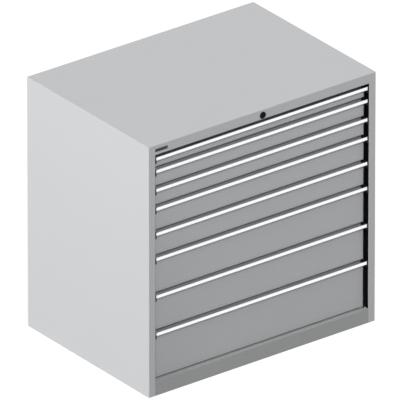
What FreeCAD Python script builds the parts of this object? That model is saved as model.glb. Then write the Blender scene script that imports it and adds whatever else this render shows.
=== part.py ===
import FreeCAD, Part
import os
import re

import Sketcher

# A modular drawer cabinet in folded sheet steel with eight full-width drawers.
# The origin is the middle of the footprint on the floor, +X is to the right seen
# from the front, the drawers open towards -Y, and +Z is up. Lengths are in mm.

DRAWERS = 8

SIZES = {
    # Housing
    "width": 1023,
    "depth": 725,
    "sheet": 1.5,
    "base_height": 58,
    "sill_depth": 4,
    "sill_rise": 10,
    "header_height": 38,
    "header_gap": 12,
    "post_face": 30,
    "jamb_depth": 24,
    "back_flange": 20,
    "bend_radius": 2.5,
    "top_flange": 20,
    "header_return": 41,
    "edge_radius": 1.2,
    # Base channels under the floor sheet, with the holes that bolt the cabinet down
    "base_sheet": 2,
    "base_channel": 60,
    "floor_hole": 11,
    "floor_hole_side": 71.5,
    "floor_hole_edge": 35,
    # Heights of the drawer fronts from the top drawer down
    "front_height_1": 50,
    "front_height_2": 75,
    "front_height_3": 75,
    "front_height_4": 100,
    "front_height_5": 100,
    "front_height_6": 150,
    "front_height_7": 150,
    "front_height_8": 192,
    # Drawer front panels
    "front_recess": 21,
    "front_play": 6,
    "front_gap": 2.5,
    "pan_inset": 2.5,
    "pan_depth": 22,
    "pan_sheet": 1.5,
    "pan_radius": 1.5,
    # Grip profile along the top of each front, with the label strip in its lip
    "lip_setback": 0.5,
    "lip_height": 12.4,
    "lip_depth": 4,
    "lip_corner": 2,
    "lip_edge": 0.5,
    "rim_height": 1.5,
    "rim_depth": 0.8,
    "rim_undercut": 0.6,
    "card_slot": 1.2,
    "card_play": 0.1,
    "grip_depth": 20.5,
    "grip_slope_end": 16,
    "grip_wall": 2,
    "grip_back_drop": 4,
    # Drawer trays with their divider slots
    "drawer_sheet": 1.2,
    "rear_space": 67.6,
    "wall_drop": 9.5,
    "divider_pitch": 17,
    "divider_slot": 3,
    "divider_margin": 8,
    # Telescopic rails
    "post_depth": 20,
    "post_width": 40,
    "post_sheet": 2,
    "post_setback": 60,
    "rail_lift": 20,
    "rail_height": 20,
    "rail_sheet": 2,
    "rail_setback": 58,
    "plate_clear": 6.3,
    "side_play": 1,
    "runner_reach": 10,
    "roller_play": 0.3,
    "roller_side_play": 1.5,
    "stud_radius": 3,
    "travel": 610,
    "lug_height": 6,
    "lug_width": 3,
    "lug_nose": 4,
    "lug_play": 0.4,
    # Lock in the header, with its cam, the strip along the header and the upright bar
    "lock_rise": 16,
    "lock_turn": 90,
    "rosette_radius": 13,
    "rosette_depth": 2,
    "barrel_radius": 10,
    "barrel_depth": 26,
    "barrel_play": 0.2,
    "plug_radius": 7,
    "plug_play": 0.3,
    "plug_setback": 0.5,
    "keyway_width": 1.8,
    "keyway_height": 8,
    "keyway_depth": 8,
    "shank_radius": 4,
    "cam_setback": 31,
    "cam_sheet": 3,
    "cam_radius": 9,
    "cam_pin_radius": 2,
    "strip_setback": 37.5,
    "strip_sheet": 3,
    "strip_height": 22,
    "strip_overhang": 22,
    "strip_end": 7,
    "strip_lift": 0.3,
    "slot_play": 0.6,
    "bar_lift": 8,
    "bar_width": 10,
    "bar_sheet": 3,
    "bar_gap": 1,
    "bar_pin_radius": 3,
    "bar_pin_rise": 8,
    "hook_lift": 3.5,
    "hook_height": 5,
    "hook_depth": 6,
    "hook_reach": 16,
    "catch_lift": 11,
    "catch_height": 7,
    "catch_gap": 2,
    "catch_reach": 11,
    "guide_wall": 4,
    "guide_height": 12,
    "guide_play": 0.4,
}

doc = FreeCAD.newDocument("DrawerCabinet")
sheet = doc.addObject("Spreadsheet::Sheet", "Sizes")
for row, (word, number) in enumerate(SIZES.items(), start=1):
    sheet.set(f"A{row}", word)
    sheet.set(f"B{row}", str(number))
    sheet.setAlias(f"B{row}", word)
doc.recompute()


# Formulas are written with the plain names of the sizes.
def formula(words):
    return re.sub(r"[a-z]\w*", lambda found: "Sizes." + found[0] if found[0] in SIZES else found[0], words)


def value(words):
    return float(sheet.evalExpression(formula(words)))


def bind(piece, what, words):
    piece.setExpression(what, formula(words))


# Places across the cabinet, measured from its middle plane to the right.
PANEL_INSIDE = "(width / 2 - sheet)"
DOORWAY = "(width / 2 - post_face)"
FRONT_HALF = f"({DOORWAY} - front_play)"
PAN_HALF = f"({FRONT_HALF} - pan_inset)"
FLOOR_TOP = "(base_height - sill_rise)"
POST_INSIDE = f"({PANEL_INSIDE} - post_depth)"
PLATE_OUTSIDE = f"({DOORWAY} - plate_clear)"
PLATE_INSIDE = f"({PLATE_OUTSIDE} - rail_sheet)"
RUNNER_OUTSIDE = f"({PLATE_INSIDE} - side_play)"
WALL_OUTSIDE = f"({RUNNER_OUTSIDE} - runner_reach - rail_sheet)"
WALL_INSIDE = f"({WALL_OUTSIDE} - drawer_sheet)"
BAR_MIDDLE = f"({DOORWAY} + bar_gap + bar_width / 2)"


# Places along the depth, measured back from the front plane of the housing.
def behind(words):
    return f"({words} - depth / 2)"


FRONT = behind("0")
BACK = behind("depth")
JAMB_BACK = behind("jamb_depth")
PAN_FRONT = behind("front_recess")
PAN_BACK = behind("front_recess + pan_depth")
TRAY_BACK = behind("depth - rear_space")
RAIL_FRONT = behind("rail_setback")
BAR_FRONT = behind("strip_setback + strip_sheet + bar_gap")
HOOK_FRONT = f"({BAR_FRONT} + bar_sheet)"
CATCH_FRONT = f"({HOOK_FRONT} + hook_depth + catch_gap)"


# Places up the cabinet. The drawers stand on the base, one above the other.
def top_of(drawer):
    stack = ["base_height"] + [f"front_height_{lower}" for lower in range(drawer, DRAWERS + 1)]
    return "(" + " + ".join(stack) + ")"


def foot_of(drawer):
    return top_of(drawer + 1)


HEADER_FOOT = f"({top_of(1)} + header_gap)"
HEIGHT = f"({HEADER_FOOT} + header_height)"
TOP_UNDERSIDE = f"({HEIGHT} - sheet)"
LOCK_HEIGHT = f"({HEADER_FOOT} + lock_rise)"


# Primitives, booleans and groups.
def box(name, across, along, up):
    piece = doc.addObject("Part::Box", name)
    for side, letter, (low, high) in zip(("Length", "Width", "Height"), "xyz", (across, along, up)):
        bind(piece, side, f"({high}) - ({low})")
        bind(piece, f"Placement.Base.{letter}", low)
    return piece


def rod(name, axis, low, high, first, second, radius):
    """A cylinder from low to high along axis X or Y, with its centre at the other two places."""
    piece = doc.addObject("Part::Cylinder", name)
    turn = {"X": (FreeCAD.Vector(0, 1, 0), 90), "Y": (FreeCAD.Vector(1, 0, 0), -90)}[axis]
    piece.Placement = FreeCAD.Placement(FreeCAD.Vector(), FreeCAD.Rotation(*turn))
    places = {"X": (low, first, second), "Y": (first, low, second)}[axis]
    for letter, place in zip("xyz", places):
        bind(piece, f"Placement.Base.{letter}", place)
    bind(piece, "Radius", radius)
    bind(piece, "Height", f"({high}) - ({low})")
    return piece


def group(name, pieces):
    bundle = doc.addObject("Part::Compound", name)
    bundle.Links = pieces
    return bundle


def fuse(name, pieces):
    joined = doc.addObject("Part::MultiFuse", name)
    joined.Shapes = pieces
    joined.Refine = True
    return joined


def cut(name, base, tool):
    rest = doc.addObject("Part::Cut", name)
    rest.Base = base
    rest.Tool = tool
    return rest


def mirror(name, source, normal=(1, 0, 0)):
    copy = doc.addObject("Part::Mirroring", name)
    copy.Source = source
    copy.Normal = FreeCAD.Vector(*normal)
    return copy


# Sketches, pads, pockets and fillets of a body.
def origin_feature(body, role):
    return next(feature for feature in body.Origin.OriginFeatures if feature.Role == role)


def trace_outline(drawing, corners):
    numbers = [FreeCAD.Vector(value(across), value(up), 0) for across, up in corners]
    first = drawing.GeometryCount
    count = len(corners)
    for index in range(count):
        drawing.addGeometry(Part.LineSegment(numbers[index], numbers[(index + 1) % count]), False)
    for index in range(count):
        following = first + (index + 1) % count
        drawing.addConstraint(Sketcher.Constraint("Coincident", first + index, 2, following, 1))
    for index, (corner, number) in enumerate(zip(corners, numbers)):
        for kind, words, place in zip(("DistanceX", "DistanceY"), corner, number):
            made = drawing.addConstraint(Sketcher.Constraint(kind, -1, 1, first + index, 1, place))
            bind(drawing, f"Constraints[{made}]", words)


def trace_circle(drawing, centre, radius):
    middle = FreeCAD.Vector(value(centre[0]), value(centre[1]), 0)
    circle = drawing.addGeometry(Part.Circle(middle, FreeCAD.Vector(0, 0, 1), value(radius)), False)
    for kind, words, place in zip(("DistanceX", "DistanceY"), centre, middle):
        made = drawing.addConstraint(Sketcher.Constraint(kind, -1, 1, circle, 3, place))
        bind(drawing, f"Constraints[{made}]", words)
    made = drawing.addConstraint(Sketcher.Constraint("Radius", circle, value(radius)))
    bind(drawing, f"Constraints[{made}]", radius)


def rectangle(across, up):
    (left, right), (low, high) = across, up
    return [(left, low), (right, low), (right, high), (left, high)]


def sketch(body, plane, start, outlines=(), circles=()):
    """Outlines and circles on an origin plane, moved along its normal to start."""
    drawing = body.newObject("Sketcher::SketchObject", "Sketch")
    drawing.AttachmentSupport = [(origin_feature(body, plane + "_Plane"), "")]
    drawing.MapMode = "FlatFace"
    bind(drawing, "AttachmentOffset.Base.z", start)
    for corners in outlines:
        trace_outline(drawing, corners)
    for centre, radius in circles:
        trace_circle(drawing, centre, radius)
    return drawing


def extrude(kind, body, plane, low, high, outlines=(), circles=()):
    """A pad or pocket from low to high, places on the global axis that the plane faces."""
    start = f"-({high})" if plane == "XZ" else low
    feature = body.newObject(f"PartDesign::{kind}", kind)
    feature.Profile = sketch(body, plane, start, outlines, circles)
    feature.Reversed = kind == "Pocket"
    bind(feature, "Length", f"({high}) - ({low})")
    return feature


def new_body(name):
    return doc.addObject("PartDesign::Body", name)


def folded(name, plane, low, high, corners):
    """A sheet-metal profile of constant section."""
    body = new_body(name)
    extrude("Pad", body, plane, low, high, [corners])
    return body


def lies_at(edge, places):
    return all(
        abs(getattr(corner.Point, letter) - place) < 0.01
        for corner in edge.Vertexes
        for letter, place in places.items()
    )


def round_edges(body, radius, *chosen):
    """Rounds the edges whose ends all lie at one of the chosen places, such as {"x": "width / 2"}."""
    doc.recompute()
    base = body.Tip
    names = []
    for words in chosen:
        places = {letter: value(place) for letter, place in words.items()}
        names += [f"Edge{n}" for n, edge in enumerate(base.Shape.Edges, start=1) if lies_at(edge, places)]
    fillet = body.newObject("PartDesign::Fillet", "Fillet")
    fillet.Base = (base, sorted(set(names)))
    bind(fillet, "Radius", radius)
    return fillet


def repeat_along(body, feature, axis, pitch, count):
    """Repeats a pocket at a steady pitch along one of the body's axes."""
    pattern = body.newObject("PartDesign::LinearPattern", "Pattern")
    pattern.Originals = [feature]
    pattern.Direction = (origin_feature(body, axis + "_Axis"), [""])
    pattern.Mode = "Spacing"
    bind(pattern, "Offset", pitch)
    bind(pattern, "Occurrences", count)
    body.Tip = pattern
    return pattern


nodes = {}


def node(name, piece):
    piece.Label = name
    nodes[name] = piece


# Side panel: one folded sheet. Its front post face turns back into a jamb beside the drawers.
def side_panel():
    skin = "-width / 2"
    inside = f"-{PANEL_INSIDE}"
    doorway = f"-{DOORWAY}"
    jamb = f"({doorway} - sheet)"
    back_edge = f"({skin} + back_flange)"
    corners = [
        (skin, FRONT),
        (doorway, FRONT),
        (doorway, JAMB_BACK),
        (jamb, JAMB_BACK),
        (jamb, behind("sheet")),
        (inside, behind("sheet")),
        (inside, behind("depth - sheet")),
        (back_edge, behind("depth - sheet")),
        (back_edge, BACK),
        (skin, BACK),
    ]
    body = folded("LeftPanel", "XY", "0", TOP_UNDERSIDE, corners)
    round_edges(body, "bend_radius", {"x": skin, "y": FRONT}, {"x": skin, "y": BACK})
    round_edges(body, "edge_radius", {"x": doorway, "y": FRONT})
    return body


# Top panel: the top sheet with the header face, its return and the inner flanges.
def top_panel():
    body = new_body("TopPanel")
    half = "width / 2"
    outline = rectangle(("-" + half, half), (FRONT, BACK))
    extrude("Pad", body, "XY", TOP_UNDERSIDE, HEIGHT, [outline])
    header = [
        (FRONT, TOP_UNDERSIDE),
        (FRONT, HEADER_FOOT),
        (behind("header_return"), HEADER_FOOT),
        (behind("header_return"), f"({HEADER_FOOT} + sheet)"),
        (behind("sheet"), f"({HEADER_FOOT} + sheet)"),
        (behind("sheet"), TOP_UNDERSIDE),
    ]
    extrude("Pad", body, "YZ", "-" + DOORWAY, DOORWAY, [header])
    flange_foot = f"({TOP_UNDERSIDE} - top_flange)"
    inner = f"({PANEL_INSIDE} - sheet)"
    flanges = [
        rectangle(("-" + PANEL_INSIDE, "-" + inner), (behind("5 * sheet"), behind("depth - 3 * sheet"))),
        rectangle((inner, PANEL_INSIDE), (behind("5 * sheet"), behind("depth - 3 * sheet"))),
        rectangle((f"-({inner} - sheet)", f"({inner} - sheet)"),
                  (behind("depth - 3 * sheet"), behind("depth - 2 * sheet"))),
    ]
    for flange in flanges:
        extrude("Pad", body, "XY", flange_foot, TOP_UNDERSIDE, [flange])
    lock_hole = (("0", LOCK_HEIGHT), "barrel_radius + barrel_play")
    extrude("Pocket", body, "XZ", behind("-sheet"), behind("2 * sheet"), circles=[lock_hole])
    corners = [{"x": across, "y": along} for across in ("-" + half, half) for along in (FRONT, BACK)]
    round_edges(body, "bend_radius", *corners)
    round_edges(body, "edge_radius", {"z": HEIGHT}, {"y": FRONT, "z": HEADER_FOOT})
    return body


def back_panel():
    across = ("-" + PANEL_INSIDE, PANEL_INSIDE)
    along = (behind("depth - 2 * sheet"), behind("depth - sheet"))
    return box("BackPanel", across, along, ("0", TOP_UNDERSIDE))


# Base: a floor sheet that rests on a front and a back channel, which bolt to the ground.
# The front wall rises past the floor sheet as a sill in front of the lowest drawer.
def base():
    floor_back = behind("depth - 2 * sheet")
    floor = [
        ("-" + DOORWAY, behind("sheet")),
        (DOORWAY, behind("sheet")),
        (DOORWAY, JAMB_BACK),
        (PANEL_INSIDE, JAMB_BACK),
        (PANEL_INSIDE, floor_back),
        ("-" + PANEL_INSIDE, floor_back),
        ("-" + PANEL_INSIDE, JAMB_BACK),
        ("-" + DOORWAY, JAMB_BACK),
    ]
    floor_foot = f"({FLOOR_TOP} - sheet)"
    web_foot = f"({floor_foot} - base_sheet)"
    front_channel = [
        (FRONT, "0"),
        (behind("base_channel"), "0"),
        (behind("base_channel"), "base_sheet"),
        (behind("sheet"), "base_sheet"),
        (behind("sheet"), web_foot),
        (behind("base_channel"), web_foot),
        (behind("base_channel"), floor_foot),
        (behind("sheet"), floor_foot),
        (behind("sheet"), "(base_height - sheet)"),
        (behind("sill_depth"), "(base_height - sheet)"),
        (behind("sill_depth"), "base_height"),
        (FRONT, "base_height"),
    ]
    channel_front = behind("depth - 2 * sheet - base_channel")
    wall_front = behind("depth - 2 * sheet - base_sheet")
    back_channel = [
        (channel_front, "0"),
        (floor_back, "0"),
        (floor_back, floor_foot),
        (channel_front, floor_foot),
        (channel_front, web_foot),
        (wall_front, web_foot),
        (wall_front, "base_sheet"),
        (channel_front, "base_sheet"),
    ]
    front = folded("FrontChannel", "YZ", "-" + DOORWAY, DOORWAY, front_channel)
    back = folded("BackChannel", "YZ", "-" + PANEL_INSIDE, PANEL_INSIDE, back_channel)
    hole_side = "(width / 2 - floor_hole_side)"
    for channel, along in ((front, behind("floor_hole_edge")), (back, behind("depth - floor_hole_edge"))):
        holes = [((across, along), "floor_hole / 2") for across in ("-" + hole_side, hole_side)]
        extrude("Pocket", channel, "XY", "-base_sheet", "2 * base_sheet", circles=holes)
    round_edges(front, "edge_radius", {"y": FRONT, "z": "base_height"})
    return group("Base", [folded("Floor", "XY", floor_foot, FLOOR_TOP, floor), front, back])


# Upright channel with a slot for each rail's lug.
def lug_middle(drawer):
    return f"({foot_of(drawer)} + rail_lift + rail_height / 2)"


def post(name, front):
    face = f"-{POST_INSIDE}"
    inner_face = f"({face} - post_sheet)"
    wall = f"-{PANEL_INSIDE}"
    back = f"({front} + post_width)"
    corners = [
        (wall, front),
        (face, front),
        (face, back),
        (wall, back),
        (wall, f"({back} - post_sheet)"),
        (inner_face, f"({back} - post_sheet)"),
        (inner_face, f"({front} + post_sheet)"),
        (wall, f"({front} + post_sheet)"),
    ]
    body = folded(name, "XY", FLOOR_TOP, f"({TOP_UNDERSIDE} - top_flange)", corners)
    middle = f"({front} + post_width / 2)"
    half = "(lug_width / 2 + lug_play)"
    slots = []
    for drawer in range(1, DRAWERS + 1):
        foot = f"({lug_middle(drawer)} - lug_height / 2 - lug_nose - 2 * lug_play)"
        head = f"({lug_middle(drawer)} + lug_height / 2 + lug_play)"
        slots.append(rectangle((f"({middle} - {half})", f"({middle} + {half})"), (foot, head)))
    extrude("Pocket", body, "YZ", f"({inner_face} - 1)", f"({face} + 1)", slots)
    return body


POST_FRONTS = (behind("post_setback"), f"({TRAY_BACK} - post_width)")


# Rails. Each channel opens towards the plate that runs between the two.
def rail_heights(drawer):
    foot = f"({foot_of(drawer)} + rail_lift)"
    return foot, f"({foot} + rail_height)"


def channel(name, web, mouth, drawer, front, back, thickness):
    """A channel along the drawer's travel, from its upright web to its open mouth."""
    foot, head = rail_heights(drawer)
    corners = [
        (web, foot),
        (mouth, foot),
        (mouth, f"({foot} + rail_sheet)"),
        (f"({web} + {thickness})", f"({foot} + rail_sheet)"),
        (f"({web} + {thickness})", f"({head} - rail_sheet)"),
        (mouth, f"({head} - rail_sheet)"),
        (mouth, head),
        (web, head),
    ]
    return folded(name, "XZ", front, back, corners)


def end_stop(body, across, along, drawer):
    """The turned-in end of a channel, which the rollers meet at full travel."""
    foot, head = rail_heights(drawer)
    extrude("Pad", body, "XZ", *along, [rectangle(across, (foot, head))])


def fixed_rail(drawer):
    web = f"-{POST_INSIDE}"
    mouth = f"-({PLATE_OUTSIDE} + side_play)"
    body = channel(f"FixedRail{drawer}", web, mouth, drawer, RAIL_FRONT, TRAY_BACK, "rail_sheet")
    end_stop(body, (web, mouth), (RAIL_FRONT, f"({RAIL_FRONT} + rail_sheet)"), drawer)
    reach = f"({web} - post_sheet - lug_play - rail_sheet)"
    low = f"({lug_middle(drawer)} - lug_height / 2)"
    lug = [
        (web, low),
        (web, f"({low} + lug_height)"),
        (reach, f"({low} + lug_height)"),
        (reach, f"({low} - lug_nose)"),
        (f"({reach} + rail_sheet)", f"({low} - lug_nose)"),
        (f"({reach} + rail_sheet)", low),
    ]
    for front in POST_FRONTS:
        middle = f"({front} + post_width / 2)"
        extrude("Pad", body, "XZ", f"({middle} - lug_width / 2)", f"({middle} + lug_width / 2)", [lug])
    return body


def runner(drawer):
    web = f"-{WALL_OUTSIDE}"
    mouth = f"-{RUNNER_OUTSIDE}"
    body = channel(f"Runner{drawer}", web, mouth, drawer, PAN_BACK, TRAY_BACK, "-rail_sheet")
    end_stop(body, (mouth, web), (f"({TRAY_BACK} - rail_sheet)", TRAY_BACK), drawer)
    return body


# Middle rail: a plate that carries rollers on both faces. The outer rollers run in the
# fixed rail and the inner ones in the runner, half the drawer's travel each.
ROLLER_RADIUS = "(rail_height / 2 - rail_sheet - roller_play)"
OUTER_FRONT_ROLLER = f"({RAIL_FRONT} + rail_sheet + {ROLLER_RADIUS} + roller_play + travel / 2)"
INNER_BACK_ROLLER = f"({TRAY_BACK} - rail_sheet - {ROLLER_RADIUS} - roller_play - travel / 2)"
PLATE_FRONT = f"({RAIL_FRONT} + rail_sheet + side_play)"
PLATE_BACK = f"({TRAY_BACK} - rail_sheet - side_play)"


def roller(name, tread, stud, along, height):
    """A roller between the two places of its tread, and its stud to the plate's face."""
    wheel = rod(name + "Wheel", "X", *tread, along, height, ROLLER_RADIUS)
    pin = rod(name + "Stud", "X", *stud, along, height, "stud_radius")
    return fuse(name, [wheel, pin])


def middle_rail(drawer):
    foot, head = rail_heights(drawer)
    plate_heights = (f"({foot} + rail_sheet)", f"({head} - rail_sheet)")
    outside = f"-{PLATE_OUTSIDE}"
    inside = f"-{PLATE_INSIDE}"
    plate = box(f"MiddlePlate{drawer}", (outside, inside), (PLATE_FRONT, PLATE_BACK), plate_heights)
    height = f"({foot} + rail_height / 2)"
    web = f"(-{POST_INSIDE} + rail_sheet)"
    outer_tread = (f"({web} + roller_side_play)", f"({outside} - roller_side_play)")
    inner_tread = (f"({inside} + roller_side_play)", f"(-{WALL_OUTSIDE} - rail_sheet - roller_side_play)")
    inner_front = f"({PLATE_FRONT} + {ROLLER_RADIUS} + side_play)"
    outer_back = f"({PLATE_BACK} - {ROLLER_RADIUS} - side_play)"
    outer_stud = (outer_tread[1], outside)
    inner_stud = (inside, inner_tread[0])
    rollers = [
        roller(f"OuterFront{drawer}", outer_tread, outer_stud, OUTER_FRONT_ROLLER, height),
        roller(f"OuterBack{drawer}", outer_tread, outer_stud, outer_back, height),
        roller(f"InnerFront{drawer}", inner_tread, inner_stud, inner_front, height),
        roller(f"InnerBack{drawer}", inner_tread, inner_stud, INNER_BACK_ROLLER, height),
    ]
    return group(f"MiddleRail{drawer}", [plate] + rollers)


# Drawer front: a shallow pan whose back edges meet the tray.
def front_panel(drawer):
    foot = f"({foot_of(drawer)} + front_gap)"
    head = f"({top_of(drawer)} - grip_depth)"
    body = new_body(f"Front{drawer}")
    outside = rectangle((f"-{PAN_HALF}", PAN_HALF), (foot, head))
    extrude("Pad", body, "XZ", PAN_FRONT, PAN_BACK, [outside])
    hollow_half = f"({PAN_HALF} - pan_sheet)"
    hollow = rectangle((f"-{hollow_half}", hollow_half), (f"({foot} + pan_sheet)", f"({head} - pan_sheet)"))
    extrude("Pocket", body, "XZ", f"({PAN_FRONT} + pan_sheet)", f"({PAN_BACK} + pan_sheet)", [hollow])
    round_edges(body, "pan_radius", {"y": PAN_FRONT})
    return body


# Grip: a profile with a lip at the front plane and a finger trough behind it.
def grip(drawer):
    top = top_of(drawer)

    def at(back, down):
        return behind(back), f"({top} - ({down}))"

    card_back = "lip_setback + rim_depth + card_slot"
    lip_back = "lip_setback + lip_depth"
    back_wall = "front_recess + pan_depth"
    slope = "(grip_depth - lip_height)"
    corners = [
        at("lip_setback", "0"),
        at("lip_setback", "rim_height"),
        at("lip_setback + rim_depth", "rim_height"),
        at("lip_setback + rim_depth", "rim_height - rim_undercut"),
        at(card_back, "rim_height - rim_undercut"),
        at(card_back, "lip_height - rim_height + rim_undercut"),
        at("lip_setback + rim_depth", "lip_height - rim_height + rim_undercut"),
        at("lip_setback + rim_depth", "lip_height - rim_height"),
        at("lip_setback", "lip_height - rim_height"),
        at("lip_setback", "lip_height"),
        at("grip_slope_end", "grip_depth"),
        at(back_wall, "grip_depth"),
        at(back_wall, "grip_back_drop"),
        at(f"{back_wall} - grip_wall", "grip_back_drop"),
        at(f"{back_wall} - grip_wall", "grip_depth - grip_wall"),
        at("grip_slope_end", "grip_depth - grip_wall"),
        at(lip_back, f"lip_height - grip_wall + {slope} * lip_depth / (grip_slope_end - lip_setback)"),
        at(lip_back, "0"),
    ]
    body = folded(f"Grip{drawer}", "YZ", f"-{FRONT_HALF}", FRONT_HALF, corners)
    lip_front, lip_foot = at("lip_setback", "lip_height")
    corners = [{"x": side, "z": top} for side in (f"-{FRONT_HALF}", FRONT_HALF)]
    round_edges(body, "lip_corner", *corners)
    long_edges = [{"y": lip_front, "z": top}, {"y": behind(lip_back), "z": top}, {"y": lip_front, "z": lip_foot}]
    round_edges(body, "lip_edge", *long_edges)
    return body


def label_strip(drawer):
    top = top_of(drawer)
    margin = "(rim_height - rim_undercut + card_play)"
    front = behind("lip_setback + rim_depth + card_play")
    back = behind("lip_setback + rim_depth + card_slot - card_play")
    half = f"({FRONT_HALF} - 2 * lip_corner)"
    heights = (f"({top} - lip_height + {margin})", f"({top} - {margin})")
    return box(f"Label{drawer}", ("-" + half, half), (front, back), heights)


# Tray: a bottom sheet and four walls with divider slots at a steady pitch.
def slotted_wall(name, plane, wall, thickness, run, heights, axis):
    """A wall along run with a row of slots, none nearer an end than one pitch."""
    start, end = run
    foot, head = heights
    body = new_body(name)
    extrude("Pad", body, plane, *thickness, [rectangle(wall, heights)])
    slot_heights = (f"({foot} + divider_margin)", f"({head} - divider_margin)")
    first = (f"({start} + divider_pitch - divider_slot / 2)", f"({start} + divider_pitch + divider_slot / 2)")
    low, high = thickness
    pocket = extrude("Pocket", body, plane, f"({low} - 1)", f"({high} + 1)", [rectangle(first, slot_heights)])
    count = f"floor(({end} - {start}) / divider_pitch + 0.001) - 1"
    repeat_along(body, pocket, axis, "divider_pitch", count)
    return body


def tray(drawer):
    foot = f"({foot_of(drawer)} + front_gap)"
    floor_top = f"({foot} + drawer_sheet)"
    rim = f"({top_of(drawer)} - wall_drop)"
    heights = (floor_top, rim)
    run = (f"({PAN_BACK} + drawer_sheet)", f"({TRAY_BACK} - drawer_sheet)")
    across = (f"-{WALL_INSIDE}", WALL_INSIDE)
    outside = (f"-{WALL_OUTSIDE}", WALL_OUTSIDE)
    bottom = box(f"TrayBottom{drawer}", outside, (PAN_BACK, TRAY_BACK), (foot, floor_top))
    side = slotted_wall(
        f"TraySide{drawer}", "YZ", (PAN_BACK, TRAY_BACK), (f"-{WALL_OUTSIDE}", f"-{WALL_INSIDE}"), run, heights, "Y"
    )
    end = slotted_wall(f"TrayEnd{drawer}", "XZ", across, (PAN_BACK, run[0]), across, heights, "X")
    far_end = mirror(f"TrayBack{drawer}", end, (0, 1, 0))
    bind(far_end, "Base.y", f"({PAN_BACK} + {TRAY_BACK}) / 2")
    catch_heights = (f"({foot_of(drawer)} + catch_lift)", f"({foot_of(drawer)} + catch_lift + catch_height)")
    catch_across = (f"-({WALL_OUTSIDE} + catch_reach)", f"-{WALL_OUTSIDE}")
    catch = box(f"Catch{drawer}", catch_across, (CATCH_FRONT, f"({CATCH_FRONT} + hook_depth)"), catch_heights)
    pieces = [bottom, side, mirror(f"TrayRight{drawer}", side), end, far_end, catch]
    return group(f"Tray{drawer}", pieces)


# Lock: a turned barrel in the header, and a plug whose cam pin drives the strip.
def turned(name, corners):
    """A body of revolution about the lock's axis, from places along it and radii."""
    body = new_body(name)
    bind(body, "Placement.Base.z", LOCK_HEIGHT)
    revolution = body.newObject("PartDesign::Revolution", "Revolution")
    revolution.Profile = sketch(body, "YZ", "0", [corners])
    revolution.ReferenceAxis = (origin_feature(body, "Y_Axis"), [""])
    revolution.Angle = 360
    return body


def lock_barrel():
    bore = "(plug_radius + plug_play)"
    corners = [
        (behind("-rosette_depth"), bore),
        (behind("-rosette_depth"), "rosette_radius"),
        (FRONT, "rosette_radius"),
        (FRONT, "barrel_radius"),
        (behind("barrel_depth"), "barrel_radius"),
        (behind("barrel_depth"), bore),
    ]
    return turned("LockBarrel", corners)


# The cam pin stands half the turn to the right of straight down while the lock is open.
PIN_ACROSS = "(cam_radius * sin(lock_turn / 2))"
PIN_UP = "(-cam_radius * cos(lock_turn / 2))"
STRIP_TRAVEL = f"(2 * {PIN_ACROSS})"


def lock_plug():
    face = behind("plug_setback - rosette_depth")
    cam_front = behind("cam_setback")
    cam_back = behind("cam_setback + cam_sheet")
    corners = [
        (face, "0"),
        (face, "plug_radius"),
        (behind("barrel_depth"), "plug_radius"),
        (behind("barrel_depth"), "shank_radius"),
        (cam_back, "shank_radius"),
        (cam_back, "0"),
    ]
    body = turned("LockPlug", corners)
    half_width = "(cam_pin_radius * 2)"
    shift_across = f"({half_width} * cos(lock_turn / 2))"
    shift_up = f"({half_width} * sin(lock_turn / 2))"
    arm = [
        (f"-{shift_across}", f"-{shift_up}"),
        (f"({PIN_ACROSS} - {shift_across})", f"({PIN_UP} - {shift_up})"),
        (f"({PIN_ACROSS} + {shift_across})", f"({PIN_UP} + {shift_up})"),
        (shift_across, shift_up),
    ]
    extrude("Pad", body, "XZ", cam_front, cam_back, [arm])
    pin_place = (PIN_ACROSS, PIN_UP)
    extrude("Pad", body, "XZ", cam_front, cam_back, circles=[(pin_place, half_width)])
    strip_back = behind("strip_setback + strip_sheet")
    extrude("Pad", body, "XZ", cam_front, strip_back, circles=[(pin_place, "cam_pin_radius")])
    keyway = rectangle(("-keyway_width / 2", "keyway_width / 2"), ("-keyway_height / 2", "keyway_height / 2"))
    extrude("Pocket", body, "XZ", f"({face} - 1)", f"({face} + keyway_depth)", [keyway])
    return body


STRIP_FOOT = f"({HEADER_FOOT} + sheet + strip_lift)"
STRIP_HEAD = f"({STRIP_FOOT} + strip_height)"
STRIP_ALONG = (behind("strip_setback"), behind("strip_setback + strip_sheet"))
BAR_PIN_HEIGHT = f"({HEADER_FOOT} + bar_pin_rise)"


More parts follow.
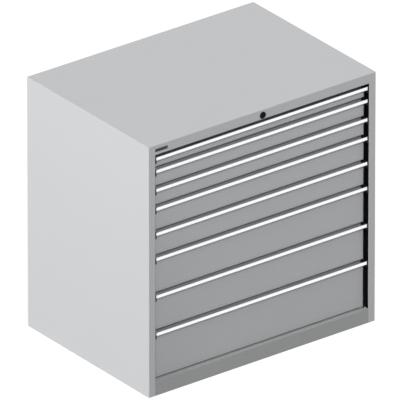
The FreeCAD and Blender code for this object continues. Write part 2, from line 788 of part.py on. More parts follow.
def lock_strip():
    """The strip slides to the left. Its sloped slot lifts the bar's pin as it passes."""
    slot_half = "(bar_pin_radius + slot_play)"
    left = f"-({BAR_MIDDLE} + {slot_half} + strip_end / 2)"
    body = new_body("LockStrip")
    outline = rectangle((left, "strip_overhang"), (STRIP_FOOT, STRIP_HEAD))
    extrude("Pad", body, "XZ", *STRIP_ALONG, [outline])
    pin_half = "(cam_pin_radius + slot_play)"
    pin_heights = (f"({LOCK_HEIGHT} - cam_radius - {pin_half})", f"({LOCK_HEIGHT} + {PIN_UP} + {pin_half})")
    cam_slot = rectangle((f"({PIN_ACROSS} - {pin_half})", f"({PIN_ACROSS} + {pin_half})"), pin_heights)
    slope_length = f"sqrt({STRIP_TRAVEL}^2 + bar_lift^2)"
    rise_across = f"({slot_half} * bar_lift / {slope_length})"
    rise_up = f"({slot_half} * {STRIP_TRAVEL} / {slope_length})"
    start = (f"-{BAR_MIDDLE}", BAR_PIN_HEIGHT)
    end = (f"(-{BAR_MIDDLE} + {STRIP_TRAVEL})", f"({BAR_PIN_HEIGHT} + bar_lift)")
    sloped_slot = [
        (f"({start[0]} + {rise_across})", f"({start[1]} - {rise_up})"),
        (f"({end[0]} + {rise_across})", f"({end[1]} - {rise_up})"),
        (f"({end[0]} - {rise_across})", f"({end[1]} + {rise_up})"),
        (f"({start[0]} - {rise_across})", f"({start[1]} + {rise_up})"),
    ]
    through = (f"({STRIP_ALONG[0]} - 1)", f"({STRIP_ALONG[1]} + 1)")
    extrude("Pocket", body, "XZ", *through, [cam_slot])
    extrude("Pocket", body, "XZ", *through, [sloped_slot])
    for centre in (start, end):
        extrude("Pocket", body, "XZ", *through, circles=[(centre, slot_half)])
    return body


def lock_bar():
    left = f"(-{BAR_MIDDLE} - bar_width / 2)"
    right = f"(-{BAR_MIDDLE} + bar_width / 2)"
    head = f"({BAR_PIN_HEIGHT} + 2 * bar_pin_radius)"
    bar = box("Bar", (left, right), (BAR_FRONT, HOOK_FRONT), ("base_height + bar_gap", head))
    pin = rod("BarPin", "Y", STRIP_ALONG[0], BAR_FRONT, f"-{BAR_MIDDLE}", BAR_PIN_HEIGHT, "bar_pin_radius")
    hooks = []
    for drawer in range(1, DRAWERS + 1):
        foot = f"({foot_of(drawer)} + hook_lift)"
        across = (left, f"({right} + hook_reach)")
        along = (HOOK_FRONT, f"({HOOK_FRONT} + hook_depth)")
        hooks.append(box(f"Hook{drawer}", across, along, (foot, f"({foot} + hook_height)")))
    return group("LockBar", [bar, pin] + hooks)


def lock_guides():
    """Two clips that straddle the strip's top edge, and three eyes round the upright bar."""
    guides = []
    clip_along = (f"({STRIP_ALONG[0]} - guide_wall)", f"({STRIP_ALONG[1]} + guide_wall)")
    groove_along = (f"({STRIP_ALONG[0]} - guide_play)", f"({STRIP_ALONG[1]} + guide_play)")
    clip_foot = f"({STRIP_HEAD} - guide_wall)"
    for count, share in enumerate(("1 / 4", "3 / 4"), start=1):
        middle = f"(-{DOORWAY} * {share})"
        across = (f"({middle} - guide_height)", f"({middle} + guide_height)")
        wide = (f"({middle} - guide_height - 1)", f"({middle} + guide_height + 1)")
        block = box(f"ClipBlock{count}", across, clip_along, (clip_foot, TOP_UNDERSIDE))
        groove = box(f"ClipGroove{count}", wide, groove_along, (f"({clip_foot} - 1)", f"({STRIP_HEAD} + guide_play)"))
        guides.append(cut(f"Clip{count}", block, groove))
    eye_across = (f"-{PANEL_INSIDE}", f"(-{BAR_MIDDLE} + bar_width / 2 + guide_play + sheet)")
    hole_across = (f"(-{BAR_MIDDLE} - bar_width / 2 - guide_play)", f"(-{BAR_MIDDLE} + bar_width / 2 + guide_play)")
    eye_along = (f"({BAR_FRONT} - guide_wall)", f"({HOOK_FRONT} + guide_wall)")
    hole_along = (f"({BAR_FRONT} - guide_play)", f"({HOOK_FRONT} + guide_play)")
    for drawer in (4, 6, 8):
        foot = f"({foot_of(drawer)} + rail_lift + rail_height + guide_height)"
        head = f"({foot} + guide_height)"
        block = box(f"EyeBlock{drawer}", eye_across, eye_along, (foot, head))
        hole = box(f"EyeHole{drawer}", hole_across, hole_along, (f"({foot} - 1)", f"({head} + 1)"))
        guides.append(cut(f"Eye{drawer}", block, hole))
    return group("LockGuides", guides)


left_panel = side_panel()
node("left_side_panel", left_panel)
node("right_side_panel", mirror("RightPanel", left_panel))
node("top_panel", top_panel())
node("back_panel", back_panel())
node("base", base())

posts = group("LeftPosts", [post(f"Post{n}", front) for n, front in enumerate(POST_FRONTS, start=1)])
node("rail_posts", group("Posts", [posts, mirror("RightPosts", posts)]))
left_rails = group("LeftRails", [fixed_rail(drawer) for drawer in range(1, DRAWERS + 1)])
node("fixed_rails", group("FixedRails", [left_rails, mirror("RightRails", left_rails)]))

for drawer in range(1, DRAWERS + 1):
    title = f"drawer_{drawer}"
    node(f"{title}_body", tray(drawer))
    node(f"{title}_front", front_panel(drawer))
    node(f"{title}_handle", grip(drawer))
    node(f"{title}_label", label_strip(drawer))
    left_runner = runner(drawer)
    node(f"{title}_runners", group(f"Runners{drawer}", [left_runner, mirror(f"RightRunner{drawer}", left_runner)]))
    left_middle = middle_rail(drawer)
    pair = [left_middle, mirror(f"RightMiddle{drawer}", left_middle)]
    node(f"{title}_middle_rails", group(f"MiddleRails{drawer}", pair))

node("lock_barrel", lock_barrel())
node("lock_plug", lock_plug())
node("lock_slider", lock_strip())
node("lock_bar", lock_bar())
node("lock_guides", lock_guides())

doc.recompute()

# Nothing is written unless every object was made, and every pocket removed something.
faults = []
for piece in doc.Objects:
    if {"Invalid", "Error"} & set(piece.State):
        faults.append(f"{piece.Label} was not made")
    if piece.TypeId == "PartDesign::Pocket" and piece.Shape.Volume >= piece.BaseFeature.Shape.Volume:
        faults.append(f"{piece.Label} removes nothing")
for name, piece in nodes.items():
    if piece.Shape.isNull() or not piece.Shape.isValid():
        faults.append(f"{name} has no valid shape")
if faults:
    raise RuntimeError("; ".join(faults))

os.makedirs("parts", exist_ok=True)
for name, piece in nodes.items():
    piece.Shape.exportStep(f"parts/{name}.step")
    print(f"{name}: {len(piece.Shape.Solids)} solids, {piece.Shape.Volume:.0f} mm3")
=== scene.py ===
import math

import bpy
from mathutils import Matrix, Vector


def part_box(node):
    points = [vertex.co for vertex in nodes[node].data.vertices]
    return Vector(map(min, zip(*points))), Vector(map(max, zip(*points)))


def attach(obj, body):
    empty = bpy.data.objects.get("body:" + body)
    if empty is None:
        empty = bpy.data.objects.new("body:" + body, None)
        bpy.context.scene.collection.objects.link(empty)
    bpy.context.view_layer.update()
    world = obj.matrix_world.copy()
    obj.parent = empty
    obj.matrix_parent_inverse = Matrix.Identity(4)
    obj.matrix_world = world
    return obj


# A light grey steel drawer cabinet with eight full-width drawers, aluminium grips and a lock
# in the header. Lengths are in metres, on the frame's own axes: +X right, -Y front, +Z up.

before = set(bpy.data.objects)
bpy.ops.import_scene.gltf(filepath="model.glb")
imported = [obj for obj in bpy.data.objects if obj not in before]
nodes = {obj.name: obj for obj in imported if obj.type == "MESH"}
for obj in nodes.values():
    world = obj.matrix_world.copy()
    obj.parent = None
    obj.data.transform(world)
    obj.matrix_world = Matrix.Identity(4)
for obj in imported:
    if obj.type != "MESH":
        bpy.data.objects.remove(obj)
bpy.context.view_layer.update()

DRAWERS = range(1, 9)
MM = 0.001


# The view has parallel edges, so it takes a very long lens from far away.
AZIMUTH = math.radians(-37.22)
ELEVATION = math.radians(26.38)
LENS = 1.7
SENSOR = 0.036
DISTANCE = 68
AIM_RIGHT = -5 * MM
AIM_UP = -3.4 * MM


# Places of the housing, read from the frame.
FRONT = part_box("left_side_panel")[0].y
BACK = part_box("left_side_panel")[1].y
HALF_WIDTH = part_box("right_side_panel")[1].x
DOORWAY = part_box("right_side_panel")[0].x
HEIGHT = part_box("top_panel")[1].z
HEADER_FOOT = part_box("top_panel")[0].z
BASE_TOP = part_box("base")[1].z


def srgb(red, green, blue):
    """A colour as the screen shows it, 0 to 255, as linear numbers with alpha."""
    linear = []
    for level in (red, green, blue):
        share = level / 255
        linear.append(share / 12.92 if share <= 0.04045 else ((share + 0.055) / 1.055) ** 2.4)
    return (*linear, 1)


# Shader wiring.
def connect(tree, given, socket):
    """Feeds a socket with a link, or sets it to a plain value."""
    if isinstance(given, bpy.types.NodeSocket):
        tree.links.new(given, socket)
    else:
        socket.default_value = given


def put(tree, kind, settings=None, **sockets):
    """Adds a node. A socket's underscores stand for spaces, and it takes a value or a link."""
    made = tree.nodes.new(kind)
    for name, setting in (settings or {}).items():
        setattr(made, name, setting)
    for name, given in sockets.items():
        connect(tree, given, made.inputs[name.replace("_", " ")])
    return made


def sums(tree, operation, *values):
    """A Math node's result."""
    made = put(tree, "ShaderNodeMath", {"operation": operation})
    for socket, given in zip(made.inputs, values):
        connect(tree, given, socket)
    return made.outputs[0]


def spread(tree, value, low, high, to_low=0.0, to_high=1.0, smooth=False):
    """Maps value from low..high to to_low..to_high, and holds it there."""
    made = put(tree, "ShaderNodeMapRange", {"interpolation_type": "SMOOTHSTEP" if smooth else "LINEAR"},
               Value=value, From_Min=low, From_Max=high, To_Min=to_low, To_Max=to_high)
    return made.outputs["Result"]


def noise(tree, place, waves, detail=2.0, roughness=0.5):
    """Soft noise from 0 to 1, with so many waves to a metre."""
    return put(tree, "ShaderNodeTexNoise", Vector=place, Scale=waves, Detail=detail,
               Roughness=roughness).outputs["Fac"]


def swing(tree, value, width):
    """Turns noise from 0 to 1 into noise of this width around zero."""
    return sums(tree, "MULTIPLY", sums(tree, "SUBTRACT", value, 0.5), width)


def along(tree, place, axis):
    """How far a place lies along one axis."""
    return put(tree, "ShaderNodeSeparateXYZ", Vector=place).outputs[axis]


def tint(tree, colour, factor):
    """The colour times a factor that changes over the surface."""
    made = put(tree, "ShaderNodeVectorMath", {"operation": "SCALE"}, Vector=colour, Scale=factor)
    return made.outputs["Vector"]


# A Mix node's sockets for colours. They share their names with those for numbers.
MIX_SHARE = 0
MIX_FIRST = 6
MIX_SECOND = 7
MIX_RESULT = 2


def blend(tree, share, first, second):
    """The first colour where the share is 0, and the second where it is 1."""
    made = put(tree, "ShaderNodeMix", {"data_type": "RGBA"})
    connect(tree, share, made.inputs[MIX_SHARE])
    connect(tree, first, made.inputs[MIX_FIRST])
    connect(tree, second, made.inputs[MIX_SECOND])
    return made.outputs[MIX_RESULT]


def effect(name, inputs, outputs):
    """An empty shader node group with named sockets, its tree and its two end nodes."""
    tree = bpy.data.node_groups.new(name, "ShaderNodeTree")
    for title, kind, default in inputs:
        socket = tree.interface.new_socket(title, in_out="INPUT", socket_type=kind)
        if default is not None:
            socket.default_value = default
    for title, kind in outputs:
        tree.interface.new_socket(title, in_out="OUTPUT", socket_type=kind)
    return tree, tree.nodes.new("NodeGroupInput").outputs, tree.nodes.new("NodeGroupOutput").inputs


def use(tree, group, **sockets):
    """Places a node group and gives its outputs."""
    return put(tree, "ShaderNodeGroup", {"node_tree": group}, **sockets).outputs


FLOAT, COLOUR, VECTOR = "NodeSocketFloat", "NodeSocketColor", "NodeSocketVector"


# Unevenness of a powder coat. Waves are counted to a metre.
SKIN_WAVES = 620
SWELL_WAVES = 170
SWELL_HEIGHT = 1.6
CLOUD_WAVES = 3.1
FLECK_WAVES = 1500
FLECK_WIDTH = 0.05
GLOSS_WAVES = 11
GLOSS_WIDTH = 0.12


def orange_peel_effect():
    """Powder coat: a fine dimpled skin, a faint drift of shade and of gloss."""
    tree, given, wanted = effect(
        "Orange Peel",
        [("Place", VECTOR, None), ("Colour", COLOUR, (0.6, 0.6, 0.6, 1)), ("Drift", FLOAT, 0.02),
         ("Roughness", FLOAT, 0.5)],
        [("Colour", COLOUR), ("Roughness", FLOAT), ("Height", FLOAT)],
    )
    place = given["Place"]
    shade = swing(tree, noise(tree, place, CLOUD_WAVES, detail=3), given["Drift"])
    speckle = swing(tree, noise(tree, place, FLECK_WAVES, detail=0), FLECK_WIDTH)
    factor = sums(tree, "ADD", sums(tree, "ADD", shade, speckle), 1.0)
    connect(tree, tint(tree, given["Colour"], factor), wanted["Colour"])
    gloss = swing(tree, noise(tree, place, GLOSS_WAVES, detail=3), GLOSS_WIDTH)
    connect(tree, sums(tree, "ADD", given["Roughness"], gloss), wanted["Roughness"])
    swell = sums(tree, "MULTIPLY", noise(tree, place, SWELL_WAVES, detail=1), SWELL_HEIGHT)
    skin = noise(tree, place, SKIN_WAVES, detail=2)
    connect(tree, sums(tree, "ADD", skin, swell), wanted["Height"])
    return tree


# Painted shade on the paint towards the floor, in soft patches.
SHADE_PATCH_WAVES = 6
SHADE_PATCH_THIN = 0.85
SHADE_PATCH_THICK = 1.15


def floor_grime_effect():
    """Painted shade: the paint darkens a little towards the floor, unevenly."""
    tree, given, wanted = effect(
        "Painted Floor Shade",
        [("Place", VECTOR, None), ("Colour", COLOUR, (0.6, 0.6, 0.6, 1)), ("Amount", FLOAT, 0.1),
         ("Reach", FLOAT, 0.9)],
        [("Colour", COLOUR)],
    )
    low = spread(tree, along(tree, given["Place"], "Z"), given["Reach"], 0.0)
    cloud = noise(tree, given["Place"], SHADE_PATCH_WAVES, detail=4)
    streaky = spread(tree, cloud, 0, 1, SHADE_PATCH_THIN, SHADE_PATCH_THICK)
    loss = sums(tree, "MULTIPLY", sums(tree, "MULTIPLY", low, given["Amount"]), streaky)
    connect(tree, tint(tree, given["Colour"], sums(tree, "SUBTRACT", 1.0, loss)), wanted["Colour"])
    return tree


# Streaks across the direction in which the metal was drawn.
FINE_STREAK_WAVES = 900
BROAD_STREAK_WAVES = 140
STREAK_GLOSS = 0.18


def drawn_grain_effect():
    """Metal drawn along one direction: long fine streaks in shade, gloss and height."""
    tree, given, wanted = effect(
        "Drawn Grain",
        [("Place", VECTOR, None), ("Stretch", VECTOR, (1.0, 1.0, 1.0)),
         ("Colour", COLOUR, (0.8, 0.8, 0.8, 1)), ("Streaks", FLOAT, 0.05), ("Roughness", FLOAT, 0.35)],
        [("Colour", COLOUR), ("Roughness", FLOAT), ("Height", FLOAT)],
    )
    stretched = put(tree, "ShaderNodeVectorMath", {"operation": "MULTIPLY"})
    connect(tree, given["Place"], stretched.inputs[0])
    connect(tree, given["Stretch"], stretched.inputs[1])
    fine = noise(tree, stretched.outputs["Vector"], FINE_STREAK_WAVES, detail=3, roughness=0.6)
    broad = noise(tree, stretched.outputs["Vector"], BROAD_STREAK_WAVES, detail=2)
    streak = sums(tree, "SUBTRACT", sums(tree, "ADD", fine, broad), 1.0)
    factor = sums(tree, "ADD", sums(tree, "MULTIPLY", streak, given["Streaks"]), 1.0)
    connect(tree, tint(tree, given["Colour"], factor), wanted["Colour"])
    gloss = sums(tree, "MULTIPLY", streak, STREAK_GLOSS)
    connect(tree, sums(tree, "ADD", given["Roughness"], gloss), wanted["Roughness"])
    connect(tree, fine, wanted["Height"])
    return tree


# The share of a weld dimple's radius over which its floor is flat.
DIMPLE_FLOOR = 0.6


def weld_dimples_effect():
    """Shallow round marks of spot welds, down the two upright flanges at the back."""
    tree, given, wanted = effect(
        "Weld Dimples",
        [("Place", VECTOR, None), ("Across", FLOAT, 0.5), ("Face", FLOAT, 0.36), ("Pitch", FLOAT, 0.1),
         ("Radius", FLOAT, 0.003)],
        [("Mark", FLOAT)],
    )
    place = put(tree, "ShaderNodeSeparateXYZ", Vector=given["Place"]).outputs
    aside = sums(tree, "SUBTRACT", sums(tree, "ABSOLUTE", place["X"]), given["Across"])
    above = sums(tree, "SUBTRACT", sums(tree, "MODULO", place["Z"], given["Pitch"]),
                 sums(tree, "MULTIPLY", given["Pitch"], 0.5))
    off_face = sums(tree, "SUBTRACT", place["Y"], given["Face"])
    offset = put(tree, "ShaderNodeCombineXYZ", X=aside, Y=off_face, Z=above)
    far = put(tree, "ShaderNodeVectorMath", {"operation": "LENGTH"})
    connect(tree, offset.outputs[0], far.inputs[0])
    share = sums(tree, "DIVIDE", far.outputs["Value"], given["Radius"])
    connect(tree, spread(tree, share, 1.0, DIMPLE_FLOOR, smooth=True), wanted["Mark"])
    return tree


ORANGE_PEEL = orange_peel_effect()
WELD_DIMPLES = weld_dimples_effect()
FLOOR_SHADE = floor_grime_effect()
DRAWN_GRAIN = drawn_grain_effect()


# Depths of the fine relief on each kind of finish.
PAINT_SKIN = 0.02 * MM
PLASTIC_SKIN = 0.01 * MM
METAL_GRAIN = 0.004 * MM

# How far up from the floor the painted shade reaches, in metres.
FLOOR_SHADE_REACH = 0.95


def new_material(name):
    """A material with its shader, and the place on the piece that its patterns read."""
    made = bpy.data.materials.new(name)
    made.use_nodes = True
    tree = made.node_tree
    tree.nodes.clear()
    shader = put(tree, "ShaderNodeBsdfPrincipled")
    put(tree, "ShaderNodeOutputMaterial", Surface=shader.outputs["BSDF"])
    place = put(tree, "ShaderNodeTexCoord").outputs["Object"]
    return made, tree, shader, place


def finish_with(tree, shader, colour, roughness, height, depth, **plain):
    """Feeds the shader: the changing values by link, the even ones on its own sockets."""
    connect(tree, colour, shader.inputs["Base Color"])
    connect(tree, roughness, shader.inputs["Roughness"])
    bump = put(tree, "ShaderNodeBump", Height=height, Distance=depth, Strength=1.0)
    connect(tree, bump.outputs["Normal"], shader.inputs["Normal"])
    for name, level in plain.items():
        shader.inputs[name.replace("_", " ")].default_value = level


def coated(tree, place, colour, drift=0.03, roughness=0.5, grime=0.09):
    """What a powder coat with painted shade towards the floor gives: its colour, roughness and height."""
    shaded_low = use(tree, FLOOR_SHADE, Place=place, Colour=colour, Amount=grime, Reach=FLOOR_SHADE_REACH)
    return use(tree, ORANGE_PEEL, Place=place, Colour=shaded_low["Colour"], Drift=drift, Roughness=roughness)


def powder_coat(name, colour, **changes):
    """Painted sheet of one colour, with painted shade towards the floor."""
    made, tree, shader, place = new_material(name)
    coat = coated(tree, place, colour, **changes)
    finish_with(tree, shader, coat["Colour"], coat["Roughness"], coat["Height"], PAINT_SKIN, Metallic=0.0)
    return made


def dull_black(name, colour, roughness, specular):
    """Moulded plastic, enamel, or the near-black of the painted shadow strips: the same fine skin, with less
    of a shine.
    """
    made, tree, shader, place = new_material(name)
    skin = use(tree, ORANGE_PEEL, Place=place, Colour=colour, Drift=0.1, Roughness=roughness)
    finish_with(tree, shader, skin["Colour"], skin["Roughness"], skin["Height"], PLASTIC_SKIN, Metallic=0.0,
                Specular_IOR_Level=specular)
    return made


def drawn_metal(name, colour, stretch, streaks, roughness):
    """Bare or plated metal. Its streaks run along the axis where the stretch is small."""
    made, tree, shader, place = new_material(name)
    metal = use(tree, DRAWN_GRAIN, Place=place, Stretch=stretch, Colour=colour, Streaks=streaks,
                Roughness=roughness)
    finish_with(tree, shader, metal["Colour"], metal["Roughness"], metal["Height"], METAL_GRAIN, Metallic=1.0)
    return made


# The lip of a grip is bright, and its trough behind the lip is matt, with painted shade: a darker grey.
LIP_BACK = FRONT + 4.2 * MM
TROUGH_START = FRONT + 4.8 * MM
LIP_BRIGHT = srgb(237, 238, 240)
TROUGH_SHADE_GREY = srgb(166, 167, 169)
LIP_ROUGHNESS = 0.3
TROUGH_ROUGHNESS = 0.6


def grip_aluminium():
    """The grips' profile: drawn metal on the lip, and a matt coat with painted shade in the trough."""
    made, tree, shader, place = new_material("Aluminium grip")
    trough = spread(tree, along(tree, place, "Y"), LIP_BACK, TROUGH_START)
    alloy = blend(tree, trough, LIP_BRIGHT, TROUGH_SHADE_GREY)
    gloss = spread(tree, trough, 0, 1, LIP_ROUGHNESS, TROUGH_ROUGHNESS)
    metal = use(tree, DRAWN_GRAIN, Place=place, Stretch=(0.01, 1, 1), Colour=alloy, Streaks=0.02,
                Roughness=gloss)
    finish_with(tree, shader, metal["Colour"], metal["Roughness"], metal["Height"], METAL_GRAIN)
    connect(tree, sums(tree, "SUBTRACT", 1, trough), shader.inputs["Metallic"])
    return made


HOUSING_GREY = srgb(207, 208, 210)
BASE_PAINTED_SHADE = srgb(175, 177, 177)
FRONT_GREY = srgb(208, 209, 211)
TRAY_GREY = srgb(200, 201, 203)

# Spot welds in a row down each rear flange. Their depth is counted in heights of the paint's skin.
WELD_LINE = HALF_WIDTH - 10 * MM
WELD_PITCH = 80 * MM
WELD_RADIUS = 4.5 * MM
WELD_DEPTH = 30
# Painted shade in each weld dimple, as a share of the paint's colour.
WELD_PAINTED_SHADE = 0.06


def housing_coat():
    """The housing's paint, with the marks of the welds under it, each with painted shade."""
    made, tree, shader, place = new_material("Housing powder coat")
    coat = coated(tree, place, HOUSING_GREY)
    mark = use(tree, WELD_DIMPLES, Place=place, Across=WELD_LINE, Face=BACK, Pitch=WELD_PITCH,
               Radius=WELD_RADIUS)["Mark"]
    height = sums(tree, "SUBTRACT", coat["Height"], sums(tree, "MULTIPLY", mark, WELD_DEPTH))
    shade = sums(tree, "SUBTRACT", 1, sums(tree, "MULTIPLY", mark, WELD_PAINTED_SHADE))
    colour = tint(tree, coat["Colour"], shade)
    finish_with(tree, shader, colour, coat["Roughness"], height, PAINT_SKIN, Metallic=0.0)
    return made


# Painted shade darkens the base outside, and painted light makes its floor sheet and the channels' insides
# pale.
BASE_PAINTED_LIGHT = srgb(226, 227, 228)
BASE_SKIN = 6 * MM
BASE_FADE = 1 * MM


def base_coat():
    """The base's paint, with painted shade near its front and back faces and painted light between them."""
    made, tree, shader, place = new_material("Base powder coat")
    depth = along(tree, place, "Y")
    behind_face = spread(tree, depth, FRONT + BASE_SKIN - BASE_FADE, FRONT + BASE_SKIN)
    before_back = spread(tree, depth, BACK - BASE_SKIN + BASE_FADE, BACK - BASE_SKIN)
    within = sums(tree, "MULTIPLY", behind_face, before_back)
    coat = coated(tree, place, blend(tree, within, BASE_PAINTED_SHADE, BASE_PAINTED_LIGHT))
    finish_with(tree, shader, coat["Colour"], coat["Roughness"], coat["Height"], PAINT_SKIN, Metallic=0.0)
    return made


housing_paint = housing_coat()
base_paint = base_coat()
# The fronts take more of the painted shade towards the floor.
front_paint = powder_coat("Front powder coat", FRONT_GREY, drift=0.025, grime=0.15)
tray_paint = powder_coat("Tray powder coat", TRAY_GREY, drift=0.05, roughness=0.55)
grip_metal = grip_aluminium()
label_film = drawn_metal("Silver label film", srgb(249, 250, 251), (0.3, 1, 1), 0.015, 0.25)
rail_zinc = drawn_metal("Zinc-plated rail", srgb(190, 192, 196), (1, 0.03, 1), 0.12, 0.38)
lock_black = dull_black("Black lock cover", srgb(6, 6, 7), roughness=0.45, specular=0.1)
lock_steel = drawn_metal("Dark lock plug", srgb(24, 25, 26), (1, 0.1, 1), 0.1, 0.35)
# Near-black for the jamb strips, a painted shadow in the gaps beside the drawers.
shadow_strip_black = dull_black("Black painted shadow", srgb(4, 4, 5), roughness=0.8, specular=0.08)
cap_plastic = dull_black("Black cap plastic", srgb(22, 22, 24), roughness=0.55, specular=0.3)
nylon = dull_black("Black nylon tread", srgb(30, 30, 32), roughness=0.4, specular=0.5)
plate_enamel = dull_black("Dark enamel plate", srgb(44, 45, 47), roughness=0.4, specular=0.5)


def wear(names, material):
    """Gives each of these nodes the one material."""
    for name in names:
        slots = nodes[name].data.materials
        slots.clear()
        slots.append(material)


wear(["left_side_panel", "right_side_panel", "top_panel", "back_panel", "rail_posts"], housing_paint)
wear(["base"], base_paint)
wear(["fixed_rails", "lock_guides", "lock_slider", "lock_bar"], rail_zinc)
wear(["lock_barrel"], lock_black)
wear(["lock_plug"], lock_steel)
for drawer in DRAWERS:
    wear([f"drawer_{drawer}_body"], tray_paint)
    wear([f"drawer_{drawer}_front"], front_paint)
    wear([f"drawer_{drawer}_handle"], grip_metal)
    wear([f"drawer_{drawer}_label"], label_film)
    wear([f"drawer_{drawer}_runners", f"drawer_{drawer}_middle_rails"], rail_zinc)


# The rollers' treads are black nylon on steel studs.
TREAD_RADIUS = 7.7 * MM
TREAD_PLAY = 1 * MM
STUD_RADIUS = 3.3 * MM

# Corners count as one where their places agree to this many decimals of a metre.
SAME_CORNER = 5


def solids_of(mesh):
    """The faces of each solid, found through the corners that they share by place."""
    corner = [tuple(round(value, SAME_CORNER) for value in point.co) for point in mesh.vertices]
    parent = {}

    def root(key):
        while parent.setdefault(key, key) != key:
            key = parent[key]
        return key

    for face in mesh.polygons:
        first, *others = (root(corner[index]) for index in face.vertices)
        for other in others:
            parent[root(other)] = root(first)
    found = {}
    for face in mesh.polygons:
        found.setdefault(root(corner[face.vertices[0]]), []).append(face)
    return found.values()


def tread_rollers(name, material):
    """Puts a second material on the solids that have a roller's size, outside their studs."""
    mesh = nodes[name].data
    mesh.materials.append(material)
    tread_slot = len(mesh.materials) - 1
    for faces in solids_of(mesh):
        points = [mesh.vertices[index].co for face in faces for index in face.vertices]
        low = Vector(map(min, zip(*points)))
        high = Vector(map(max, zip(*points)))
        size = high - low
        axle = (low + high) / 2
        if max(abs(size.y - 2 * TREAD_RADIUS), abs(size.z - 2 * TREAD_RADIUS)) > TREAD_PLAY:
            continue
        for face in faces:
            reach = max(math.hypot(mesh.vertices[index].co.y - axle.y, mesh.vertices[index].co.z - axle.z)
                        for index in face.vertices)
            if reach > STUD_RADIUS:
                face.material_index = tread_slot


for drawer in DRAWERS:
    tread_rollers(f"drawer_{drawer}_middle_rails", nylon)


# Modelling helpers, each with the steps that a maker takes by hand.

# The least cosine between a direction and an axis that it follows, and the most between two
# that stand square to each other. Places nearer than a touch are the same.
STRAIGHT = 0.99
SQUARE = 0.01
TOUCH = 0.1 * MM

SMOOTH_ANGLE = math.radians(35)


def choose(piece):
    """Makes the piece the only one selected, and the active one."""
    bpy.ops.object.select_all(action="DESELECT")
    piece.select_set(True)
    bpy.context.view_layer.objects.active = piece


def edit(piece):
    """Opens the piece in edit mode with nothing selected."""
    choose(piece)
    bpy.ops.object.mode_set(mode="EDIT")
    bpy.ops.mesh.select_all(action="DESELECT")


def leave_edit():
    """Closes edit mode."""
    bpy.ops.object.mode_set(mode="OBJECT")


def pick_faces(piece, test):
    """Selects the faces whose middle and normal pass the test, and nothing else."""
    bpy.ops.mesh.select_all(action="DESELECT")
    bpy.ops.mesh.select_mode(type="FACE")
    bpy.ops.object.mode_set(mode="OBJECT")
    for face in piece.data.polygons:
        face.select = test(face.center, face.normal)
    bpy.ops.object.mode_set(mode="EDIT")


def pick_edges(piece, test):
    """Selects the edges whose middle and direction pass the test, and nothing else."""
    bpy.ops.mesh.select_all(action="DESELECT")
    bpy.ops.mesh.select_mode(type="EDGE")
    bpy.ops.object.mode_set(mode="OBJECT")
    mesh = piece.data
    for edge in mesh.edges:
        start, end = (mesh.vertices[corner].co for corner in edge.vertices)
        edge.select = test((start + end) / 2, (end - start).normalized())
    bpy.ops.object.mode_set(mode="EDIT")


def push(x, y, z):
    """Extrudes what is selected by this much."""
    bpy.ops.mesh.extrude_region_move(TRANSFORM_OT_translate={"value": (x, y, z)})


def slice_at(y):
    """Cuts the whole open mesh across at this depth, and keeps both sides."""
    bpy.ops.mesh.select_all(action="SELECT")
    bpy.ops.mesh.bisect(plane_co=(0, y, 0), plane_no=(0, 1, 0))


def block(name, low, high):
    """A cube at its size and place, its place in its mesh."""
    bpy.ops.object.select_all(action="DESELECT")
    low = Vector(low)
    high = Vector(high)
    bpy.ops.mesh.primitive_cube_add(size=1, location=(low + high) / 2)
    piece = bpy.context.active_object
    piece.name = name
    piece.scale = high - low
    bpy.ops.object.transform_apply(location=True, rotation=True, scale=True)
    return piece


def dress(piece, material, body):
    """Finishes a piece: its material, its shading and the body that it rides."""
    piece.data.materials.clear()
    piece.data.materials.append(material)
    choose(piece)
    bpy.ops.object.shade_smooth_by_angle(angle=SMOOTH_ANGLE)
    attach(piece, body)


# Near-black strips, a painted shadow, stand on the jambs and fill the gap beside the drawers, where there is
# only shade. A rib's two edges are shares of the strip's depth.
STRIP_THICKNESS = 1.5 * MM
STRIP_FRONT = FRONT + 1.6 * MM
STRIP_BACK = FRONT + 24 * MM
STRIP_ROUNDING = 0.5 * MM
STRIP_RIB = 0.6 * MM
STRIP_RIBS = ((0.2, 0.3), (0.7, 0.8))


def shadow_strip(name, side):
    """A flat strip with two soft ribs along the face that looks at the drawers."""
    wall = side * DOORWAY
    inner = wall - side * STRIP_THICKNESS
    depth = STRIP_BACK - STRIP_FRONT
    low_x, high_x = sorted((wall, inner))
    strip = block(name, (low_x, STRIP_FRONT, BASE_TOP), (high_x, STRIP_BACK, HEADER_FOOT))
    edit(strip)
    pick_edges(strip, lambda middle, way: abs(way.z) > STRAIGHT and abs(middle.x - inner) < TOUCH)
    bpy.ops.mesh.bevel(offset=STRIP_ROUNDING, segments=3)
    for rib_edges in STRIP_RIBS:
        for share in rib_edges:
            slice_at(STRIP_FRONT + share * depth)

    def on_rib(middle, way):
        share = (middle.y - STRIP_FRONT) / depth
        return way.x * side < -STRAIGHT and any(start < share < end for start, end in STRIP_RIBS)

    pick_faces(strip, on_rib)
    push(-side * STRIP_RIB, 0, 0)
    leave_edit()
    dress(strip, shadow_strip_black, "housing")


shadow_strip("left_shadow_strip", -1)
shadow_strip("right_shadow_strip", 1)


# A plain plate with a raised rim at the left of the header.
PLATE_LEFT = -481.3 * MM
PLATE_LENGTH = 54.5 * MM
PLATE_HEIGHT = 11.5 * MM
PLATE_MIDDLE = HEADER_FOOT + 17.5 * MM
PLATE_THICKNESS = 0.9 * MM
PLATE_CORNER = 1.5 * MM
PLATE_EDGE = 0.25 * MM
PLATE_RIM = 0.6 * MM
PLATE_SINK = 0.3 * MM


